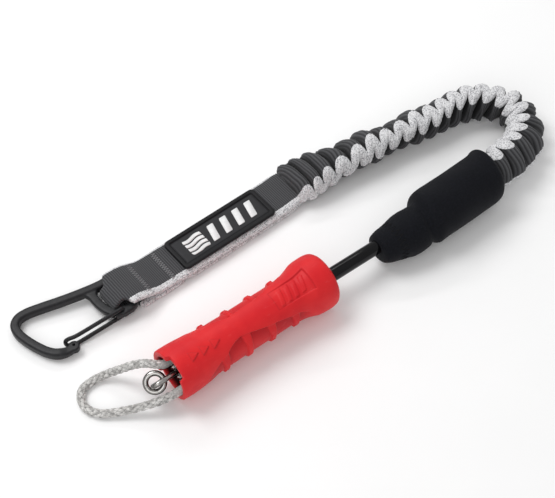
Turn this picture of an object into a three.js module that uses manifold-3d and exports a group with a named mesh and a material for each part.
// A short kite safety leash: a wire-gate carabiner on a flat webbing end, a ruched bungee section that
// turns back on itself, and a push-away quick release with a rope loop.
// Millimetres, +Z up. +X runs along the release handle from its mouth to the bungee, +Y points from the
// handle to the webbing, and the floor is z = 0.
import * as THREE from "three";
import { mergeVertices } from "three/addons/utils/BufferGeometryUtils.js";
import Module from "manifold-3d";

const wasm = await Module();
wasm.setup();

// ---------------------------------------------------------------- driving dimensions
const GAP = 0.3; // clearance left between touching pieces
const THROUGH = 60; // length of a cutting tool that passes right through the piece it cuts
const CENTRE = new THREE.Vector3(35.955, 35.904, 0); // middle of the object's footprint, which becomes the origin

// Webbing end
const WEBBING_START = new THREE.Vector3(-36, 64.5, 0); // below the carabiner's base bar
const WEBBING_TURN = THREE.MathUtils.degToRad(2); // its direction, turned from +X
const WEBBING_LENGTH = 113.2;
const WEBBING_WIDTH = 25.4;
const WEBBING_FOLDED_WIDTH = 14.4; // gathered to pass through the carabiner's eye
const LAYER = 3.4; // one layer of tubular webbing
const LABEL = { length: 63, width: 22.4, thickness: 1.2, rim: 1.3, rimHeight: 0.7, corner: 2.2, start: 33.5 };
const BARTACKS = [9.5, 25.5]; // distances of the stitched bars from the base bar
const BARTACK_SIZE = new THREE.Vector3(2.6, 21, 0.4);

// Carabiner
const BAR_RADIUS = 2.5;
const BAR_HEIGHT = LAYER + GAP + BAR_RADIUS + 0.1; // centre of the base bar above the floor
const BODY_WIDTH = 5;
const BODY_THICKNESS = 5.6;
const FLAT_THICKNESS = 4; // at the nose tip, the lug and the crossbar, between the gate's wires
const GATE_WIRE = 2;
const GATE_SPREAD = 3.3; // each leg of the gate above or below the body's middle plane
const GATE_PIVOT = new THREE.Vector2(-7.5, -10.5);
const CARABINER_TILT = THREE.MathUtils.degToRad(2.9); // the nose end rests on the floor

// Quick release, on an axis of its own
const AXIS_HEIGHT = 16;
const ROLL = THREE.MathUtils.degToRad(30); // the mouth's two notches face up and a little to -Y, and opposite
const MOUTH_X = -50.5;
const FLARE_X = 50;
const NOTCH_DEPTH = 2.2;
const NOTCH_WIDTH = 15;
const TUBE_RADIUS = 4;
const TUBE_START = -32;
const TUBE_END = 104;
const FORK_X = -41; // front face of the fork's flange
const PIN = { x: -44, z: -3.2, radius: 1.2 };
const HOOK_WIRE = 2.8;
const HOOK_REACH = -57.2; // where the hook's bend begins
const HOOK_HALF = 3.2; // half the distance between its two legs
const RING = { radius: 4.8, wire: 3.1, centre: new THREE.Vector3(-58.2, 1.3, -1.9) };
const ROPE_DIAMETER = 4.5;

// Bungee, its ruched cover and the neoprene sleeve
const COVER_RADIUS = 10.9;
const COVER_BORE = 5.2;
const BUNGEE_RADIUS = 4.5;
const NEOPRENE_START = 86;
const NEOPRENE_END = 170;
const COLLAR_DROOP = 2.4; // the soft collar hangs below the tube until it touches the floor
const COLLAR_DROOP_FROM = 7.6; // radius beyond which the sleeve hangs, so that its bore stays on the tube

// Centreline of the ruched cover from the end of the webbing to the inside of the neoprene sleeve.
const COVER_ROUTE = [
  [78, 68.5, 11], [90, 68, 11], [104, 66.4, 11], [118, 64.6, 11], [132, 62.7, 11], [146, 60.8, 11],
  [160, 58.8, 11], [173, 56.6, 11], [185, 54.9, 11], [196.5, 51.9, 11], [207, 46, 11], [214, 37, 11],
  [216, 26.6, 11], [212.6, 16.8, 11.3], [204.8, 9.8, 12.2], [194.6, 5.6, 13.6], [183.5, 3.2, 15],
  [173.5, 1.8, 15.8], [164, 0.8, 16], [155, 0.2, 16],
];

// Centreline of the rope loop, from one whipped end in the mouth round to the other.
const ROPE_ROUTE = [
  [-50.2, 5.4, 20.4], [-53.2, 7.2, 21], [-57.2, 11.8, 20], [-61, 16.6, 16.2], [-64.8, 21.2, 11], [-69, 25.4, 6.2],
  [-74.2, 28.4, 3.2], [-80.6, 29.4, 2.4], [-86.8, 28, 2.4], [-90.6, 23.2, 2.4], [-91, 17, 2.4], [-87.4, 10.8, 2.6],
  [-81, 6.2, 3.2], [-74, 2, 4.6], [-67, -2, 6.8], [-60.6, -5.4, 9.4], [-54.6, -7.8, 12], [-50.2, -8.4, 12.8],
];

// ---------------------------------------------------------------- materials
const material = (color, roughness, metalness = 0) =>
  new THREE.MeshStandardMaterial({ color, roughness, metalness });
const MATERIALS = {
  webbing: material(0x4a4b4d, 0.85),
  thread: material(0xc9c9c7, 0.7),
  label: material(0x18181a, 0.6),
  anodised: material(0x1c1c1e, 0.45, 0.6),
  stainless: material(0xc4c4c2, 0.18, 1),
  red: material(0xd6282c, 0.42),
  tube: material(0x0e0e10, 0.15),
  neoprene: material(0x141415, 0.95),
  rope: material(0xaaa8a4, 0.8),
  elastic: material(0x242426, 0.8),
};

// ---------------------------------------------------------------- shape helpers
// Turns a closed geometry into a manifold solid.
function solid(geometry) {
  const bare = geometry.index ? geometry.toNonIndexed() : geometry.clone();
  bare.deleteAttribute("normal");
  bare.deleteAttribute("uv");
  const merged = mergeVertices(bare, 1e-4);
  return new wasm.Manifold(
    new wasm.Mesh({
      numProp: 3,
      vertProperties: new Float32Array(merged.attributes.position.array),
      triVerts: new Uint32Array(merged.index.array),
    }),
  );
}

function geometryOf(body) {
  const mesh = body.getMesh();
  const geometry = new THREE.BufferGeometry();
  geometry.setAttribute("position", new THREE.BufferAttribute(new Float32Array(mesh.vertProperties), 3));
  geometry.setIndex(new THREE.BufferAttribute(new Uint32Array(mesh.triVerts), 1));
  geometry.computeVertexNormals();
  return geometry;
}

const join = (...geometries) => geometryOf(geometries.map(solid).reduce((whole, part) => whole.add(part)));
const cut = (geometry, ...tools) =>
  geometryOf(tools.map(solid).reduce((whole, tool) => whole.subtract(tool), solid(geometry)));

// Moves every vertex of a geometry by a function that changes it in place.
function reshape(geometry, change) {
  const positions = geometry.getAttribute("position");
  const point = new THREE.Vector3();
  for (let i = 0; i < positions.count; i++) {
    point.fromBufferAttribute(positions, i);
    change(point);
    positions.setXYZ(i, point.x, point.y, point.z);
  }
  return geometry;
}

// A solid of revolution about the X axis from [x, radius] pairs.
function turned(profile, segments = 32) {
  const points = profile.map(([x, radius]) => new THREE.Vector2(radius, x));
  return new THREE.LatheGeometry(points, segments).rotateZ(-Math.PI / 2);
}

// A hollow turned piece: outer and inner profiles, both listed from low x to high x.
function turnedTube(outer, inner, segments = 32) {
  return turned([...outer, ...inner.toReversed(), outer[0]], segments);
}

function circle(radius) {
  return new THREE.Shape().absarc(0, 0, radius, 0, 2 * Math.PI);
}

// Extrudes a section along a smooth open curve through the points.
function sweep(points, section, steps, sides = 8) {
  const path = new THREE.CatmullRomCurve3(points, false, "centripetal");
  return new THREE.ExtrudeGeometry(section, {
    extrudePath: path,
    steps,
    curveSegments: sides,
    bevelEnabled: false,
  });
}

// A rod lying along Y, with its middle at the given point.
function crossRod(radius, length, x, y, z, sides = 16) {
  return new THREE.CylinderGeometry(radius, radius, length, sides).translate(x, y, z);
}

function vectors(list) {
  return list.map(([x, y, z = 0]) => new THREE.Vector3(x, y, z));
}

function arc(centreX, centreZ, radius, from, to, steps) {
  return Array.from({ length: steps + 1 }, (_, i) => {
    const angle = from + ((to - from) * i) / steps;
    return [centreX + radius * Math.cos(angle), centreZ + radius * Math.sin(angle)];
  });
}

function mesh(name, geometry, kind) {
  const made = new THREE.Mesh(geometry, MATERIALS[kind]);
  made.name = name;
  return made;
}

const smooth = (value, low, high) => THREE.MathUtils.smoothstep(value, low, high);

// ---------------------------------------------------------------- webbing end
// Side view of the folded webbing: two layers that part to go round the base bar.
function webbingProfile() {
  const inner = BAR_RADIUS + GAP;
  const outer = inner + LAYER;
  const top = 2 * LAYER + GAP;
  const outerTurn = arc(0, BAR_HEIGHT, outer, 1.5 * Math.PI, 0.5 * Math.PI, 14);
  const innerTurn = arc(0, BAR_HEIGHT, inner, 0.42 * Math.PI, 1.5 * Math.PI, 14);
  return [
    [WEBBING_LENGTH, 0], [14, 0], [9, 0], [4, 0], ...outerTurn,
    [4, BAR_HEIGHT + outer - 0.6], [9, BAR_HEIGHT + outer - 2.6], [14, top + 0.7], [20, top], [WEBBING_LENGTH, top],
    [WEBBING_LENGTH, LAYER + GAP], [20, LAYER + GAP], [14, LAYER + GAP + 0.5], [9, BAR_HEIGHT + inner - 2.4],
    ...innerTurn, [4, LAYER + 0.15], [9, LAYER], [14, LAYER], [WEBBING_LENGTH, LAYER],
  ];
}

function webbingLoop() {
  const shape = new THREE.Shape(webbingProfile().map(([x, z]) => new THREE.Vector2(x, z)));
  const strip = new THREE.ExtrudeGeometry(shape, { depth: WEBBING_WIDTH, steps: 1, bevelEnabled: false });
  strip.rotateX(Math.PI / 2).translate(0, WEBBING_WIDTH / 2, 0);
  const plan = new THREE.ExtrudeGeometry(webbingPlan(), { depth: THROUGH, bevelEnabled: false });
  return geometryOf(solid(strip).intersect(solid(plan.translate(0, 0, -THROUGH / 2))));
}

// The outline from above: full width, then gathered to the width of the carabiner's eye.
function webbingPlan() {
  const full = WEBBING_WIDTH / 2 + 1;
  const narrow = WEBBING_FOLDED_WIDTH / 2;
  const side = [[-10, narrow], [4.4, narrow], [6.2, 9.6], [9.6, full], [WEBBING_LENGTH + 5, full]];
  const otherSide = side.map(([x, y]) => [x, -y]);
  return new THREE.Shape([...otherSide, ...side.toReversed()].map(([x, y]) => new THREE.Vector2(x, y)));
}

function roundedRectangle(length, width, corner) {
  const x = length / 2 - corner;
  const y = width / 2 - corner;
  const shape = new THREE.Shape();
  shape.absarc(x, y, corner, 0, Math.PI / 2);
  shape.absarc(-x, y, corner, Math.PI / 2, Math.PI);
  shape.absarc(-x, -y, corner, Math.PI, 1.5 * Math.PI);
  shape.absarc(x, -y, corner, 1.5 * Math.PI, 2 * Math.PI);
  return shape;
}

// A moulded rubber patch with a raised rim.
function labelPatch() {
  const { length, width, thickness, rim, rimHeight, corner } = LABEL;
  const flat = { depth: thickness, bevelEnabled: false, curveSegments: 6 };
  const plate = new THREE.ExtrudeGeometry(roundedRectangle(length, width, corner), flat);
  const border = roundedRectangle(length, width, corner);
  border.holes.push(roundedRectangle(length - 2 * rim, width - 2 * rim, corner - rim / 2));
  const frame = new THREE.ExtrudeGeometry(border, { ...flat, depth: thickness + rimHeight });
  return join(plate, frame);
}

function webbingGroup() {
  const group = new THREE.Group();
  group.position.copy(WEBBING_START);
  group.rotation.z = WEBBING_TURN;
  group.add(mesh("webbing_loop", webbingLoop(), "webbing"));

  const top = 2 * LAYER + 2 * GAP;
  const label = mesh("label_patch", labelPatch(), "label");
  label.position.set(LABEL.start + LABEL.length / 2, 0, top);
  group.add(label);

  const names = ["bartack_front", "bartack_rear"];
  const heights = [3.35, GAP]; // the front bar crosses the webbing where it rises to the base bar
  BARTACKS.forEach((distance, i) => {
    const { x, y, z } = BARTACK_SIZE;
    const bar = mesh(names[i], new THREE.BoxGeometry(x, y, z), "thread");
    bar.position.set(distance, 0, top + heights[i] + z / 2);
    group.add(bar);
  });
  return group;
}

// ---------------------------------------------------------------- carabiner
// Centreline of the frame in its own plane, from the nose round the big end to the base and the lug.
const CARABINER_LINE = [
  [-40.6, -13], [-45.5, -13], [-50, -10.8], [-53.2, -7], [-55.9, -1.4], [-58.4, 6], [-59.6, 12.6], [-58.6, 17.6],
  [-55, 20.4], [-50, 20.7], [-42, 18.9], [-31, 15.8], [-19, 12.9], [-8, 11], [-3.4, 10.9], [-0.7, 9.7], [0, 7.4],
  [0, 3], [0, -3], [0, -7.4], [-0.8, -9.6], [-3.4, -11], [-8, -10.6], [-12.4, -9.4],
];
const CROSSBAR_LINE = [[-15, 12.2], [-15.9, 7], [-15.8, 1], [-14.6, -4.4], [-12.2, -9]];

// An octagonal bar section.
function barSection(width, thickness) {
  const corner = Math.min(width, thickness) * 0.27;
  const x = width / 2;
  const z = thickness / 2;
  return new THREE.Shape(
    [
      [x, z - corner], [x - corner, z], [corner - x, z], [-x, z - corner],
      [-x, corner - z], [corner - x, -z], [x - corner, -z], [x, corner - z],
    ].map(([a, b]) => new THREE.Vector2(a, b)),
  );
}

function carabinerBody() {
  const thin = FLAT_THICKNESS / BODY_THICKNESS;
  const frame = sweep(vectors(CARABINER_LINE), barSection(BODY_THICKNESS, BODY_WIDTH), 64);
  reshape(frame, (p) => {
    const lower = 1 - smooth(p.y, -6, 4); // the side that the gate closes
    const nose = smooth(p.x, -49, -44.5) * (1 - smooth(p.x, -30, -25)) * lower;
    const base = smooth(p.x, -24, -16) * lower;
    p.z *= 1 - (1 - thin) * Math.max(nose, base);
    const radius = Math.hypot(p.x, p.z); // the base bar is round inside the webbing
    if (Math.abs(p.y) < 8.8 && p.x > -6) p.multiply(new THREE.Vector3(BAR_RADIUS / radius, 1, BAR_RADIUS / radius));
  });
  const crossbar = sweep(vectors(CROSSBAR_LINE), barSection(FLAT_THICKNESS, 4.6), 12);
  const noseTip = new THREE.CylinderGeometry(3.1, 3.1, FLAT_THICKNESS, 20).rotateX(Math.PI / 2);
  noseTip.translate(-40.6, -12.9, 0);
  const lug = new THREE.CylinderGeometry(3, 3, FLAT_THICKNESS, 20).rotateX(Math.PI / 2);
  lug.translate(GATE_PIVOT.x, GATE_PIVOT.y, 0);
  const hole = new THREE.CylinderGeometry(0.8, 0.8, 3 * BODY_THICKNESS, 12).rotateX(Math.PI / 2);
  hole.translate(-40.4, -12.6, 0);
  return cut(join(frame, crossbar, noseTip, lug), hole);
}

// The gate: one bent wire whose two legs pass over and under the body and close behind the nose.
function wireGate() {
  const nose = { x: -42.6, y: -8 };
  const { x, y } = GATE_PIVOT;
  const leg = (side) => [
    [x, y, side * GATE_SPREAD], [x - 5, y + 0.1, side * GATE_SPREAD], [x - 18, y + 0.4, side * GATE_SPREAD],
    [x - 30, y + 0.9, side * GATE_SPREAD], [nose.x + 1.6, nose.y - 0.6, side * (GATE_SPREAD - 0.3)],
    [nose.x, nose.y, side * (GATE_SPREAD - 1.6)],
  ];
  return sweep(vectors([...leg(1), ...leg(-1).reverse()]), circle(GATE_WIRE / 2), 44, 4);
}

function carabinerGroup() {
  const group = new THREE.Group();
  group.position.set(WEBBING_START.x, WEBBING_START.y, BAR_HEIGHT);
  group.rotation.y = -CARABINER_TILT;
  group.add(mesh("carabiner_body", carabinerBody(), "anodised"));
  group.add(mesh("wire_gate", wireGate(), "anodised"));
  return group;
}

// ---------------------------------------------------------------- release handle
const MOUTH_BORE = 11.4;
const WAIST = 12.6; // outside radius of the grip
const HANDLE_OUTSIDE = [
  [MOUTH_X, 13.6], [MOUTH_X + 1.2, 14.4], [-46, 14.5], [-40, 14.3], [-34, 13.7], [-30, 12.9], [-26, 12.7], [-18, 12.7],
  [-12, WAIST], [-3, WAIST], [3, WAIST], [12, WAIST], [18, WAIST], [26, 12.9], [30, 13.4], [34, 14.6], [37, 15.6],
  [42, 16], [46, 16], [48.6, 15.2], [FLARE_X, 13.8],
];
const HANDLE_BORE = [
  [MOUTH_X, MOUTH_BORE], [-24, MOUTH_BORE], [-23.6, TUBE_RADIUS + GAP], [-19, TUBE_RADIUS + GAP], [-18.6, 8.4],
  [FLARE_X, 8.4],
];
const RIBS = [-23, -8, 7, 22]; // middles of the four grip ribs on each side
const RIB_HEIGHT = 1.2;
const RIB_HALF = 3.2;
// The outside is moulded off the bore's axis towards +Y, a little more at the flare.
const outsideShift = (x) => 0.4 + 0.7 * smooth(x, -40, 45);

function handleShell() {
  const stations = HANDLE_OUTSIDE.concat(RIBS.map((x) => [x, WAIST])).sort((a, b) => a[0] - b[0]);
  const shell = turnedTube(stations, HANDLE_BORE, 36);
  reshape(shell, (p) => {
    const radius = Math.hypot(p.y, p.z);
    if (radius < MOUTH_BORE + GAP) return; // the bore stays round and on the axis
    const side = smooth(Math.abs(p.y) / radius, 0.35, 0.8);
    const rib = RIBS.reduce((sum, x) => sum + Math.max(0, 1 - Math.abs(p.x - x) / RIB_HALF), 0);
    const grown = 1 + (RIB_HEIGHT * rib * side) / radius;
    p.y = p.y * grown + outsideShift(p.x);
    p.z *= grown;
  });
  return cut(shell, notchTool());
}

// A round-bottomed slot that cuts both notches of the mouth at once.
function notchTool() {
  const half = NOTCH_WIDTH / 2;
  const bottom = MOUTH_X + NOTCH_DEPTH;
  const outline = new THREE.Shape([
    [MOUTH_X - 5, -half], [MOUTH_X, -half], [bottom - 0.8, -half + 0.6], [bottom, -half + 1.6],
    [bottom, half - 1.6], [bottom - 0.8, half - 0.6], [MOUTH_X, half], [MOUTH_X - 5, half],
  ].map(([x, y]) => new THREE.Vector2(x, y)));
  return new THREE.ExtrudeGeometry(outline, { depth: THROUGH, bevelEnabled: false }).translate(0, 0, -THROUGH / 2);
}

// Nylon ring pressed into the flared end, which guides the handle along the tube.
function slideBush() {
  return turnedTube([[44, 8.1], [48.5, 8.1]], [[44, TUBE_RADIUS + GAP], [48.5, TUBE_RADIUS + GAP]], 24);
}

// ---------------------------------------------------------------- release mechanism
function guideTube() {
  return turnedTube([[TUBE_START, TUBE_RADIUS], [TUBE_END, TUBE_RADIUS]], [[TUBE_START, 2], [TUBE_END, 2]], 24);
}

function stopCollar() {
  const bore = TUBE_RADIUS + GAP;
  return turnedTube([[38, 7.8], [42, 7.8]], [[38, bore], [42, bore]], 24);
}

function returnSpring() {
  const bore = TUBE_RADIUS + 1;
  return turnedTube([[-18, 7], [37.6, 7]], [[-18, bore], [37.6, bore]], 20);
}

// A turned flange with two cheeks that hold the hook between them.
function hookFork() {
  const back = TUBE_START - GAP;
  const rim = 10.6;
  const hub = 7;
  const profile = [[FORK_X, 0], [FORK_X, rim], [FORK_X + 3, rim], [FORK_X + 4, hub], [back, hub], [back, 0]];
  const flange = turned(profile, 28);
  const cheekLength = 6;
  const cheek = (side) =>
    new THREE.BoxGeometry(cheekLength, 2.2, 9).translate(FORK_X - cheekLength / 2 + 0.5, side * 2.95, -0.8);
  const pinHole = crossRod(PIN.radius + GAP, 20, PIN.x, 0, PIN.z);
  return cut(join(flange, cheek(1), cheek(-1)), pinHole);
}

function hookPin() {
  return join(
    crossRod(PIN.radius, 8.6, PIN.x, 0, PIN.z),
    crossRod(2.2, 0.9, PIN.x, -4.75, PIN.z, 20),
    crossRod(2.2, 0.9, PIN.x, 4.75, PIN.z, 20),
  );
}

// The hook: an eye on the pin, a lower leg, a bend and an upper leg whose tip stays inside the mouth.
function releaseHook() {
  const bend = arc(HOOK_REACH, 0, HOOK_HALF, 1.5 * Math.PI, 0.5 * Math.PI, 8);
  const lowerLeg = [[PIN.x - 2, PIN.z], [-48, PIN.z], [-53, PIN.z]];
  const upperLeg = [[-53, HOOK_HALF], [-49, HOOK_HALF], [-45.6, HOOK_HALF]];
  const line = [...lowerLeg, ...bend, ...upperLeg];
  const wire = sweep(vectors(line.map(([x, z]) => [x, 0, z])), circle(HOOK_WIRE / 2), 40, 5);
  const eye = crossRod(2.6, HOOK_WIRE, PIN.x, 0, PIN.z, 20);
  return cut(join(wire, eye), crossRod(PIN.radius + GAP, 10, PIN.x, 0, PIN.z));
}

function loopRing() {
  const ring = new THREE.TorusGeometry(RING.radius, RING.wire / 2, 10, 30);
  return ring.rotateY(THREE.MathUtils.degToRad(-20)).translate(RING.centre.x, RING.centre.y, RING.centre.z);
}

// The smooth, whipped end of the rope, from the fork's flange to the start of the loop.
function whipping(start) {
  const [x, y, z] = start;
  const from = new THREE.Vector3(FORK_X - GAP, y, z);
  const to = new THREE.Vector3(x + 1.3, y, z);
  const length = from.distanceTo(to);
  return new THREE.CylinderGeometry(2.3, 2.3, length, 14).rotateZ(Math.PI / 2).translate((from.x + to.x) / 2, y, z);
}

function releaseGroup() {
  const group = new THREE.Group();
  group.position.set(0, 0, AXIS_HEIGHT);
  group.rotation.x = ROLL;
  group.add(mesh("release_handle", handleShell(), "red"));
  group.add(mesh("slide_bush", slideBush(), "elastic"));
  group.add(mesh("guide_tube", guideTube(), "tube"));
  group.add(mesh("stop_collar", stopCollar(), "stainless"));
  group.add(mesh("return_spring", returnSpring(), "stainless"));
  group.add(mesh("hook_fork", hookFork(), "stainless"));
  group.add(mesh("hook_pin", hookPin(), "stainless"));
  group.add(mesh("release_hook", releaseHook(), "stainless"));
  group.add(mesh("loop_ring", loopRing(), "stainless"));
  return group;
}

// ---------------------------------------------------------------- rope, bungee and covers
function ropeGroup() {
  const group = new THREE.Group();
  const route = vectors(ROPE_ROUTE);
  group.add(mesh("loop_rope", sweep(route, circle(ROPE_DIAMETER / 2), 56, 4), "rope"));
  group.add(mesh("rope_whipping_upper", whipping(ROPE_ROUTE[0]), "rope"));
  group.add(mesh("rope_whipping_lower", whipping(ROPE_ROUTE.at(-1)), "rope"));
  return group;
}

function bungeeGroup() {
  const group = new THREE.Group();
  const route = vectors(COVER_ROUTE);
  const ring = circle(COVER_RADIUS);
  ring.holes.push(circle(COVER_BORE));
  group.add(mesh("ruched_sleeve", sweep(route, ring, 64, 6), "webbing"));

  const start = route[0];
  const clampFront = new THREE.CylinderGeometry(4.5, 4.5, 8, 16).rotateZ(Math.PI / 2 + WEBBING_TURN);
  clampFront.translate(start.x + 4.8, start.y - 0.1, start.z);
  group.add(mesh("bungee_clamp_front", clampFront, "stainless"));

  const inner = [new THREE.Vector3(88, 68.1, 11), ...route.slice(2), new THREE.Vector3(136, 0, AXIS_HEIGHT)];
  group.add(mesh("bungee_core", sweep(inner, circle(BUNGEE_RADIUS), 64, 5), "elastic"));

  const anchor = turned([[TUBE_END + GAP, 0], [TUBE_END + GAP, 6], [118, 8.4], [135.6, 8.4], [135.6, 0]], 24);
  group.add(mesh("core_anchor", anchor.translate(0, 0, AXIS_HEIGHT), "stainless"));
  return group;
}

const NEOPRENE_OUTSIDE = [
  [NEOPRENE_START, 8.2], [88, 9.2], [93, 10.9], [99, 12.2], [105, 12.8], [112, 13], [116.5, 12.8], [118.5, 14.8],
  [121, 15.8], [126, 16], [144, 16], [162, 16], [167.5, 15.8], [NEOPRENE_END, 15],
];
const NEOPRENE_BORE = [
  [NEOPRENE_START, TUBE_RADIUS + GAP], [100, TUBE_RADIUS + GAP], [103, 9], [122, 9.4], [126, 12.2],
  [NEOPRENE_END, 12.2],
];

function neopreneSleeve() {
  const sleeve = turnedTube(NEOPRENE_OUTSIDE, NEOPRENE_BORE, 32);
  reshape(sleeve, (p) => {
    const radius = Math.hypot(p.y, p.z);
    if (radius > COLLAR_DROOP_FROM) p.z -= COLLAR_DROOP * (1 - smooth(p.x, 102, 124));
    p.y += (radius > 13 ? 2.6 : 1.6) * smooth(p.x, 152, NEOPRENE_END); // it follows the bungee's curve
  });
  return sleeve.translate(0, 0, AXIS_HEIGHT);
}

// ---------------------------------------------------------------- assembly
const leash = new THREE.Group();
leash.add(webbingGroup(), carabinerGroup(), releaseGroup(), ropeGroup(), bungeeGroup());
leash.add(mesh("neoprene_sleeve", neopreneSleeve(), "neoprene"));
leash.position.copy(CENTRE).negate();
export default leash;
